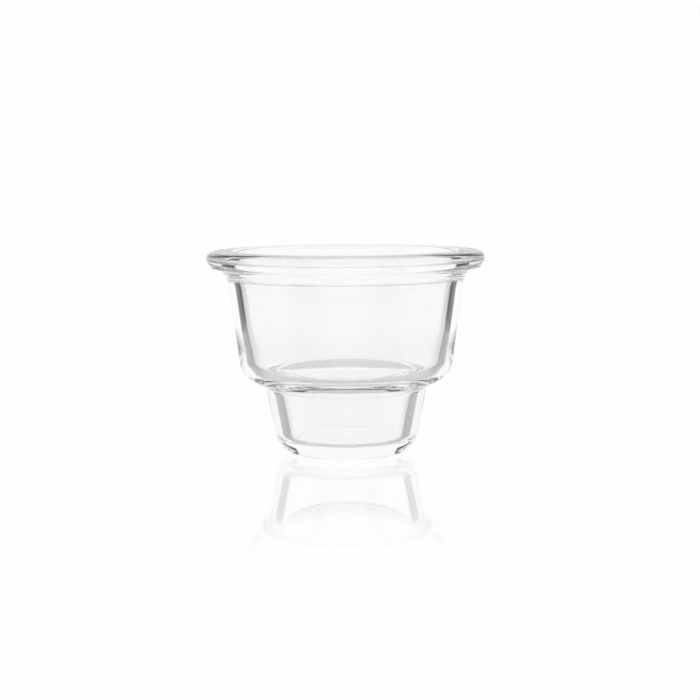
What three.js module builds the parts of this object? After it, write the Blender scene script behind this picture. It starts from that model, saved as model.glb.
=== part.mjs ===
// Laboratory desiccator base: one pressed borosilicate glass vessel with a ground flange.
// Units are millimetres and +Z is up. The vessel stands on Z = 0 and turns about the Z axis.
import * as THREE from "three";

// Driving dimensions.
const FLANGE_RADIUS = 76.5; // 153 mm flange, the size made for a 100 mm desiccator
const FLANGE_THICKNESS = 8.8;
const FLANGE_TOP_EDGE = 4; // rounding of the flange's upper outer edge
const FLANGE_LOWER_EDGE = 4.6;
const FLANGE_FILLET = 9.8; // under the flange, where it runs into the wall
const HEIGHT = 110.6;
const FLOOR_THICKNESS = 6.8;

const SEGMENTS = 80; // steps round the axis
const ARC_STEP = THREE.MathUtils.degToRad(22.5); // largest turn between two points of an arc

// Corners of the outside, from the base's centre to the flange: radius, height, rounding.
const OUTSIDE = [
  [0, 0, 0],
  [35.7, 0, 2.8], // edge of the underside
  [38.9, 4.6, 13], // base corner
  [41.7, 17.5, 150], // lower cup swells a little
  [44.8, 35.4, 2.6], // neck under the shoulder
  [58.5, 42.66, 13.2], // shoulder
  [61.8, 70, 400], // upper wall flares towards the flange
  [66.1, HEIGHT - FLANGE_THICKNESS, FLANGE_FILLET],
  [FLANGE_RADIUS, HEIGHT - FLANGE_THICKNESS, FLANGE_LOWER_EDGE],
  [FLANGE_RADIUS, HEIGHT, FLANGE_TOP_EDGE],
];

// Corners of the inside, from the mouth down to the floor's centre.
const INSIDE = [
  [60.4, HEIGHT, 2.6], // mouth
  [54.3, 64, 120],
  [50.7, 44, 9.2], // foot of the upper wall, where the plate's rim rests
  [38.3, 43.4, 1.6], // edge of the ledge
  [30.9, FLOOR_THICKNESS, 4.8], // floor corner
  [0, FLOOR_THICKNESS, 0],
];

// The corners with each one rounded off by an arc that meets both of its sides smoothly.
function roundedOutline(corners) {
  const points = [];
  corners.forEach(([r, z, rounding], i) => {
    const corner = new THREE.Vector2(r, z);
    if (i === 0 || i === corners.length - 1 || rounding === 0) {
      points.push(corner);
      return;
    }
    const before = new THREE.Vector2(...corners[i - 1].slice(0, 2)).sub(corner).normalize();
    const after = new THREE.Vector2(...corners[i + 1].slice(0, 2)).sub(corner).normalize();
    const half = Math.acos(before.dot(after)) / 2;
    const start = corner.clone().addScaledVector(before, rounding / Math.tan(half));
    const toCentre = before.clone().add(after).normalize();
    const centre = corner.clone().addScaledVector(toCentre, rounding / Math.sin(half));
    const turn = (Math.PI - 2 * half) * Math.sign(after.cross(before));
    const steps = Math.max(1, Math.ceil(Math.abs(turn) / ARC_STEP));
    for (let k = 0; k <= steps; k += 1) {
      points.push(start.clone().rotateAround(centre, (turn * k) / steps));
    }
  });
  return points;
}

const outline = roundedOutline([...OUTSIDE, ...INSIDE]);
outline[0].x = 0;
outline[outline.length - 1].x = 0;

const glass = new THREE.MeshStandardMaterial({
  color: 0xe9f0f1,
  roughness: 0.05,
  metalness: 0,
  transparent: true,
  opacity: 0.35,
});

const vessel = new THREE.LatheGeometry(outline, SEGMENTS);
vessel.rotateX(Math.PI / 2); // the outline is drawn with its height along Y

const base = new THREE.Mesh(vessel, glass);
base.name = "desiccator_base";

const group = new THREE.Group();
group.name = "desiccator_base_group";
group.add(base);

export default group;
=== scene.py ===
"""A clear pressed glass desiccator base, standing on a glossy white table in soft white light."""

from __future__ import annotations

import logging
import math
from dataclasses import dataclass, field
from enum import Enum
from typing import Any, Mapping, Sequence

import bpy
from mathutils import Matrix, Vector

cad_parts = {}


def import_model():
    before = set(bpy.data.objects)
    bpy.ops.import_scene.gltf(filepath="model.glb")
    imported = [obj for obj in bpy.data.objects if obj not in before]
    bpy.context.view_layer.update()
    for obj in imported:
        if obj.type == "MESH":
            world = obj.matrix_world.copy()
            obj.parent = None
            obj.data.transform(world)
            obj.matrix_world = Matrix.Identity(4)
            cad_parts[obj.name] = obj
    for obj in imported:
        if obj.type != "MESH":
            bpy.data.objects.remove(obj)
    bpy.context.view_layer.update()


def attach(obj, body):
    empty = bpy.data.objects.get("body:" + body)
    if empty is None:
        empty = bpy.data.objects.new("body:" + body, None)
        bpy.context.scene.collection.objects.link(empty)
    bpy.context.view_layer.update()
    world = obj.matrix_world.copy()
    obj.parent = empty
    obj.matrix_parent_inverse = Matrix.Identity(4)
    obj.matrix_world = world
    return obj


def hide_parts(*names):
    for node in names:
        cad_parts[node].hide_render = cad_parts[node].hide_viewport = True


LOG = logging.getLogger("desiccator_base")
WHITE = (1.0, 1.0, 1.0, 1.0)
GLASS_INDEX = 1.473
MOST_BOUNCES = 24
MOST_GLOSSY_BOUNCES = 12


class Surface(Enum):
    """The two surfaces of the glass, in the order of the vessel's material slots."""

    CLEAR = 0
    GROUND = 1


class Expr:
    """A value in a node tree. Operators on it add Math nodes."""

    def __init__(self, graph: Graph, socket: bpy.types.NodeSocket) -> None:
        """Wraps a socket.

        Args:
            graph: The node graph the socket belongs to.
            socket: The output socket that carries the value.
        """
        self.graph = graph
        self.socket = socket

    def _math(self, operation: str, *values: Any) -> Expr:
        """Adds one Math node.

        Args:
            operation: The node's operation.
            values: Numbers or expressions for its inputs, in order.

        Returns:
            The node's result.
        """
        node = self.graph.node("ShaderNodeMath", {"operation": operation}, dict(enumerate(values)))
        return Expr(self.graph, node.outputs[0])

    def __add__(self, other: Any) -> Expr:
        """Adds a number or an expression."""
        return self._math("ADD", self, other)

    def __sub__(self, other: Any) -> Expr:
        """Takes away a number or an expression."""
        return self._math("SUBTRACT", self, other)

    def __rsub__(self, other: Any) -> Expr:
        """Takes the expression away from a number."""
        return self._math("SUBTRACT", other, self)

    def __mul__(self, other: Any) -> Expr:
        """Multiplies by a number or an expression."""
        return self._math("MULTIPLY", self, other)

    def __truediv__(self, other: Any) -> Expr:
        """Divides by a number or an expression."""
        return self._math("DIVIDE", self, other)

    def least(self, other: Any) -> Expr:
        """The smaller of two values."""
        return self._math("MINIMUM", self, other)

    def most(self, other: Any) -> Expr:
        """The larger of two values."""
        return self._math("MAXIMUM", self, other)

    def size(self) -> Expr:
        """The value without its sign."""
        return self._math("ABSOLUTE", self)

    def matches(self, value: float) -> Expr:
        """1 where the value is a given whole number, 0 elsewhere."""
        return self._math("COMPARE", self, value, 0.5)

    def ramp(self, start: float, end: float) -> Expr:
        """A smooth step.

        Args:
            start: The value where the step is 0.
            end: The value where the step is 1, above or below start.

        Returns:
            A value from 0 to 1.
        """
        low, high = min(start, end), max(start, end)
        node = self.graph.node(
            "ShaderNodeMapRange",
            {"interpolation_type": "SMOOTHSTEP"},
            {"Value": self, "From Min": low, "From Max": high},
        )
        step = Expr(self.graph, node.outputs["Result"])
        return step if start < end else 1 - step


class Graph:
    """The node tree of a material or of the world."""

    def __init__(self, owner: bpy.types.Material | bpy.types.World) -> None:
        """Empties the owner's node tree.

        Args:
            owner: The material or world to build.
        """
        owner.use_nodes = True
        self.tree = owner.node_tree
        self.tree.nodes.clear()

    def node(
        self,
        kind: str,
        settings: Mapping[str, Any] | None = None,
        inputs: Mapping[Any, Any] | None = None,
    ) -> bpy.types.Node:
        """Adds a node of any type.

        Args:
            kind: The node's type.
            settings: Properties of the node, which are set first.
            inputs: Values, sockets or expressions by input name or number.

        Returns:
            The new node.
        """
        node = self.tree.nodes.new(kind)
        for name, value in (settings or {}).items():
            setattr(node, name, value)
        for name, value in (inputs or {}).items():
            source = value.socket if isinstance(value, Expr) else value
            if isinstance(source, bpy.types.NodeSocket):
                self.tree.links.new(source, node.inputs[name])
            else:
                node.inputs[name].default_value = source
        return node

    def parts(self, vector: bpy.types.NodeSocket) -> tuple[Expr, Expr, Expr]:
        """Splits a vector into its three components."""
        node = self.node("ShaderNodeSeparateXYZ", inputs={0: vector})
        return Expr(self, node.outputs[0]), Expr(self, node.outputs[1]), Expr(self, node.outputs[2])

    def noise(self, scale: float, detail: float) -> Expr:
        """Noise that stays fixed to the piece.

        Args:
            scale: How many features fit in a metre.
            detail: How many finer layers are added.

        Returns:
            The noise, about 0.5 on average.
        """
        place = self.node("ShaderNodeTexCoord").outputs["Object"]
        node = self.node(
            "ShaderNodeTexNoise", inputs={"Vector": place, "Scale": scale, "Detail": detail}
        )
        return Expr(self, node.outputs[0])

    def finish(self, shader: bpy.types.Node, kind: str = "ShaderNodeOutputMaterial") -> None:
        """Joins the last shader to the output."""
        self.node(kind, inputs={"Surface": shader.outputs[0]})


@dataclass(frozen=True)
class ClearGlass:
    """Fire-polished pressed borosilicate glass, with the slight unevenness that pressing leaves."""

    tint: tuple[float, float, float, float] = (0.974, 0.974, 0.977, 1.0)
    index: float = GLASS_INDEX
    wave_scale: float = 38.0
    wave_layers: float = 1.0
    wave_height: float = 0.00002

    def material(self) -> bpy.types.Material:
        """Builds the material."""
        made = bpy.data.materials.new("clear_glass")
        graph = Graph(made)
        bump = graph.node(
            "ShaderNodeBump",
            inputs={
                "Strength": 1.0,
                "Distance": self.wave_height,
                "Height": graph.noise(self.wave_scale, self.wave_layers),
            },
        )
        shader = graph.node(
            "ShaderNodeBsdfPrincipled",
            inputs={
                "Base Color": self.tint,
                "Roughness": 0.0,
                "IOR": self.index,
                "Transmission Weight": 1.0,
                "Normal": bump.outputs[0],
            },
        )
        graph.finish(shader)
        return made


@dataclass(frozen=True)
class GroundGlass:
    """The flange's sealing face, ground fine and matt."""

    tint: tuple[float, float, float, float] = (0.99, 0.95, 0.95, 1.0)
    index: float = GLASS_INDEX
    clearness: float = 0.62
    roughness: float = 0.4
    grain_scale: float = 5200.0
    grain_layers: float = 2.0
    grain_height: float = 0.000001

    def material(self) -> bpy.types.Material:
        """Builds the material."""
        made = bpy.data.materials.new("ground_glass")
        graph = Graph(made)
        bump = graph.node(
            "ShaderNodeBump",
            inputs={
                "Strength": 1.0,
                "Distance": self.grain_height,
                "Height": graph.noise(self.grain_scale, self.grain_layers),
            },
        )
        shader = graph.node(
            "ShaderNodeBsdfPrincipled",
            inputs={
                "Base Color": self.tint,
                "Roughness": self.roughness,
                "IOR": self.index,
                "Transmission Weight": self.clearness,
                "Normal": bump.outputs[0],
            },
        )
        graph.finish(shader)
        return made


@dataclass(frozen=True)
class Corner:
    """A corner of the wall's outline, in metres, before it is rounded off."""

    radius: float
    height: float
    rounding: float = 0.0

    @property
    def point(self) -> Vector:
        """The corner in the drawing plane, which is the XZ plane."""
        return Vector((self.radius, 0.0, self.height))


@dataclass
class Vessel:
    """The glass vessel: one outline turned about the Z axis.

    The outline starts under the base's centre, climbs the outside, crosses the flange and goes
    down the inside to the floor's centre. All sizes are in metres.
    """

    node: str = "desiccator_base"
    slot: str = "clear_glass"
    height: float = 0.1106
    flange_radius: float = 0.0765
    flange_thickness: float = 0.0088
    flange_top_edge: float = 0.004
    flange_lower_edge: float = 0.0046
    flange_fillet: float = 0.0098
    floor_thickness: float = 0.0068
    steps_round: int = 288
    longest_step: float = 0.002
    arc_step: float = math.radians(6.0)
    seed_size: float = 0.001
    weld_distance: float = 1e-6
    level_normal: float = 0.9999
    level_slack: float = 1e-5
    clear: ClearGlass = field(default_factory=ClearGlass)
    ground: GroundGlass = field(default_factory=GroundGlass)

    def corners(self) -> list[Corner]:
        """Lists the outline's corners, in order."""
        under_flange = self.height - self.flange_thickness
        return [
            Corner(0.0, 0.0),
            Corner(0.0357, 0.0, 0.0028),
            Corner(0.0389, 0.0046, 0.013),
            Corner(0.0417, 0.0175, 0.15),
            Corner(0.0448, 0.0354, 0.0026),
            Corner(0.0585, 0.04266, 0.0132),
            Corner(0.0618, 0.07, 0.4),
            Corner(0.0661, under_flange, self.flange_fillet),
            Corner(self.flange_radius, under_flange, self.flange_lower_edge),
            Corner(self.flange_radius, self.height, self.flange_top_edge),
            Corner(0.0604, self.height, 0.0026),
            Corner(0.0543, 0.064, 0.12),
            Corner(0.0507, 0.044, 0.0092),
            Corner(0.0383, 0.0434, 0.0016),
            Corner(0.0309, self.floor_thickness, 0.0048),
            Corner(0.0, self.floor_thickness),
        ]

    def _run_to(self, here: Vector, there: Vector) -> None:
        """Extrudes the chain's end point along a straight line.

        Args:
            here: Where the end point is.
            there: Where it has to come.
        """
        steps = max(1, math.ceil((there - here).length / self.longest_step))
        for _ in range(steps):
            bpy.ops.mesh.extrude_vertices_move(
                TRANSFORM_OT_translate={"value": (there - here) / steps}
            )

    def _round_off(self, before: Corner, corner: Corner, after: Corner, here: Vector) -> Vector:
        """Takes the chain to a corner and round it on an arc that meets both sides smoothly.

        Args:
            before: The corner before this one.
            corner: The corner to round.
            after: The corner after it.
            here: Where the chain ends now.

        Returns:
            Where the chain ends after the arc.
        """
        if not corner.rounding:
            self._run_to(here, corner.point)
            return corner.point
        back = (before.point - corner.point).normalized()
        on = (after.point - corner.point).normalized()
        half = back.angle(on) / 2
        start = corner.point + back * (corner.rounding / math.tan(half))
        end = corner.point + on * (corner.rounding / math.tan(half))
        centre = corner.point + (back + on).normalized() * (corner.rounding / math.sin(half))
        turn = math.pi - 2 * half
        self._run_to(here, start)
        bpy.ops.mesh.spin(
            steps=max(1, math.ceil(turn / self.arc_step)),
            angle=turn,
            center=centre,
            axis=(end - centre).cross(start - centre).normalized(),
        )
        return end

    def draw_outline(self) -> bpy.types.Object:
        """Draws the outline as one chain of edges.

        Returns:
            The object that holds the chain, left in edit mode with all of it selected.
        """
        corners = self.corners()
        bpy.ops.object.select_all(action="DESELECT")
        bpy.ops.mesh.primitive_plane_add(size=self.seed_size, location=corners[0].point)
        piece = bpy.context.object
        piece.name = "glass_vessel"
        bpy.ops.object.mode_set(mode="EDIT")
        bpy.ops.mesh.select_mode(type="VERT")
        bpy.ops.mesh.select_all(action="SELECT")
        bpy.ops.mesh.merge(type="CENTER")
        here = corners[0].point
        for before, corner, after in zip(corners, corners[1:], corners[2:]):
            here = self._round_off(before, corner, after, here)
        self._run_to(here, corners[-1].point)
        bpy.ops.mesh.select_all(action="SELECT")
        return piece

    def turn(self) -> None:
        """Spins the chain about the Z axis and welds its first turn to its last."""
        bpy.ops.mesh.spin(
            steps=self.steps_round, angle=math.tau, center=(0, 0, 0), axis=(0, 0, 1)
        )
        bpy.ops.mesh.select_all(action="SELECT")
        bpy.ops.mesh.remove_doubles(threshold=self.weld_distance)
        bpy.ops.mesh.select_all(action="SELECT")
        bpy.ops.mesh.normals_make_consistent(inside=False)
        bpy.ops.mesh.select_all(action="DESELECT")

    def dress(self, piece: bpy.types.Object) -> None:
        """Gives the vessel its clear glass, and its flange the ground face.

        Args:
            piece: The turned vessel, in object mode.
        """
        piece.data.materials.append(self.clear.material())
        piece.data.materials.append(self.ground.material())
        for face in piece.data.polygons:
            level = face.normal.z > self.level_normal
            flat = level and face.center.z > self.height - self.level_slack
            face.material_index = (Surface.GROUND if flat else Surface.CLEAR).value

    def build(self) -> bpy.types.Object:
        """Makes the vessel and stands it in for its CAD node.

        Returns:
            The finished piece.
        """
        piece = self.draw_outline()
        self.turn()
        bpy.ops.object.mode_set(mode="OBJECT")
        bpy.ops.object.shade_smooth()
        bpy.ops.object.transform_apply(location=True, rotation=True, scale=True)
        self.dress(piece)
        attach(piece, "root")
        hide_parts(self.node)
        return piece


@dataclass(frozen=True)
class Table:
    """A see-through plane with a mirror gloss that fades outwards, and a clear sheet over it.

    Both let the white surround through, so they read as a white table.
    """

    radius: float = 0.62
    rim_steps: int = 128
    sheet_depth: float = 0.00005
    gap: float = 0.0025
    gloss: float = 0.27
    gloss_full: float = 0.125
    gloss_end: float = 0.21

    def _top(self) -> bpy.types.Material:
        """Builds the table top, which lets the light through and whose gloss fades outwards."""
        made = bpy.data.materials.new("white_table")
        graph = Graph(made)
        place = graph.node("ShaderNodeTexCoord").outputs["Object"]
        length = graph.node("ShaderNodeVectorMath", {"operation": "LENGTH"}, {0: place})
        near = Expr(graph, length.outputs["Value"]).ramp(self.gloss_end, self.gloss_full)
        lit = graph.node("ShaderNodeBsdfTransparent")
        shine = graph.node("ShaderNodeBsdfGlossy", inputs={"Color": WHITE, "Roughness": 0.0})
        mixed = graph.node(
            "ShaderNodeMixShader",
            inputs={0: near * self.gloss, 1: lit.outputs[0], 2: shine.outputs[0]},
        )
        graph.finish(mixed)
        return made

    def _sheet(self) -> bpy.types.Material:
        """Builds the clear sheet's material."""
        made = bpy.data.materials.new("clear_sheet")
        graph = Graph(made)
        graph.finish(graph.node("ShaderNodeBsdfTransparent"))
        return made

    def build(self) -> list[bpy.types.Object]:
        """Makes the table top and the sheet.

        Returns:
            Both objects.
        """
        made = []
        for name, depth, material in (
            ("table_top", self.gap, self._top()),
            ("clear_sheet", self.sheet_depth, self._sheet()),
        ):
            bpy.ops.object.select_all(action="DESELECT")
            bpy.ops.mesh.primitive_circle_add(
                vertices=self.rim_steps,
                radius=self.radius,
                fill_type="NGON",
                location=(0, 0, -depth),
            )
            piece = bpy.context.object
            piece.name = name
            bpy.ops.object.transform_apply(location=True, rotation=True, scale=True)
            piece.data.materials.append(material)
            made.append(piece)
        return made


@dataclass(frozen=True)
class Surround:
    """White light from four sides, overhead and below, with dark gaps between the four sides.

    It isn't the same for every ray. The camera sees a plain backdrop. Rays that were only
    refracted, and rays reflected once that didn't cross the glass exactly twice, see no gaps.
    Pairs of heights are where a smooth step starts and ends, as the Z part of a direction.
    """

    backdrop: float = 0.992
    screen: float = 0.992
    overhead: float = 1.0
    overhead_heights: tuple[float, float] = (0.45, 0.55)
    low_dimming: float = 0.035
    low_heights: tuple[float, float] = (-0.13, -0.2)
    under: float = 0.6
    under_heights: tuple[float, float] = (-0.45, -0.8)
    gap_edge: float = 0.64
    gap_soft: float = 0.05
    gap_widening: float = 0.36
    gap_widening_heights: tuple[float, float] = (-0.15, -0.58)
    gap_softening: float = 0.08
    gap_softening_heights: tuple[float, float] = (-0.15, -0.4)
    gap_light: tuple[float, float, float] = (0.34, 0.2, 0.72)
    gap_light_heights: tuple[tuple[float, float], ...] = (
        (-0.165, -0.22),
        (-0.3, -0.7),
        (0.19, 0.25),
    )
    least_along: float = 0.001

    def _beside(self, x: Expr, y: Expr, z: Expr) -> Expr:
        """Says how far a direction is inside one of the four gaps, from 0 to 1."""
        across, along = x.size().least(y.size()), x.size().most(y.size())
        edge = self.gap_edge - z.ramp(*self.gap_widening_heights) * self.gap_widening
        soft = z.ramp(*self.gap_softening_heights) * self.gap_softening + self.gap_soft
        return ((across / along.most(self.least_along) - edge) / soft).ramp(-1.0, 1.0)

    def _ungapped(self, path: bpy.types.Node, graph: Graph) -> Expr:
        """Says which rays see no gaps: 1 for those, 0 for the rest."""
        reflected = Expr(graph, path.outputs["Glossy Depth"])
        crossed = Expr(graph, path.outputs["Transmission Depth"])
        return reflected.matches(1.0) * (1 - crossed.matches(2.0)) + reflected.matches(0.0)

    def build(self) -> bpy.types.World:
        """Makes the world."""
        world = bpy.data.worlds.new("surround")
        bpy.context.scene.world = world
        graph = Graph(world)
        x, y, z = graph.parts(graph.node("ShaderNodeTexCoord").outputs["Generated"])
        path = graph.node("ShaderNodeLightPath")
        above = z.ramp(*self.overhead_heights)
        bright = above * (self.overhead - self.screen) + self.screen
        bright = bright - z.ramp(*self.under_heights) * (self.screen - self.under)
        bright = bright - z.ramp(*self.low_heights) * self.low_dimming
        first, *others = (
            z.ramp(*heights) * light
            for heights, light in zip(self.gap_light_heights, self.gap_light)
        )
        dark = sum(others, first)
        shown = self._beside(x, y, z) * (1 - above) * (1 - self._ungapped(path, graph))
        light = bright - shown * (bright - dark)
        seen = Expr(graph, path.outputs["Is Camera Ray"])
        strength = light + seen * (self.backdrop - light)
        graph.finish(
            graph.node("ShaderNodeBackground", inputs={0: WHITE, 1: strength}),
            "ShaderNodeOutputWorld",
        )
        return world


@dataclass(frozen=True)
class Viewpoint:
    """The camera, a little above the flange and looking slightly down."""

    distance: float = 0.691
    height: float = 0.1427
    aside: float = 0.0021
    down: float = math.radians(7.24)
    roll: float = math.radians(-0.35)
    lens: float = 64.3
    sensor_width: float = 36.0
    clip: tuple[float, float] = (0.01, 50.0)

    def build(self) -> bpy.types.Object:
        """Makes the camera and gives it to the scene."""
        data = bpy.data.cameras.new("camera")
        data.lens = self.lens
        data.sensor_width = self.sensor_width
        data.clip_start, data.clip_end = self.clip
        camera = bpy.data.objects.new("camera", data)
        bpy.context.scene.collection.objects.link(camera)
        camera.location = (self.aside, -self.distance, self.height)
        turned = Matrix.Rotation(math.pi / 2 - self.down, 4, "X")
        camera.rotation_euler = (turned @ Matrix.Rotation(self.roll, 4, "Z")).to_euler()
        bpy.context.scene.camera = camera
        return camera


def set_up_look() -> None:
    """Sets the plain view transform and lets light pass through many layers of glass."""
    scene = bpy.context.scene
    scene.view_settings.view_transform = "Standard"
    scene.cycles.max_bounces = MOST_BOUNCES
    scene.cycles.transmission_bounces = MOST_BOUNCES
    scene.cycles.glossy_bounces = MOST_GLOSSY_BOUNCES


def main() -> None:
    """Builds the camera, the vessel, its stage and the surround in order, and reports the vessel
    and the stage pieces.
    """
    logging.basicConfig(level=logging.INFO, format="%(name)s: %(message)s")
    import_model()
    Viewpoint().build()
    vessel = Vessel().build()
    LOG.info("%s: %d faces", vessel.name, len(vessel.data.polygons))
    for piece in Table().build():
        LOG.info("%s: stage", piece.name)
    Surround().build()
    set_up_look()


if __name__ == "__main__":
    main()
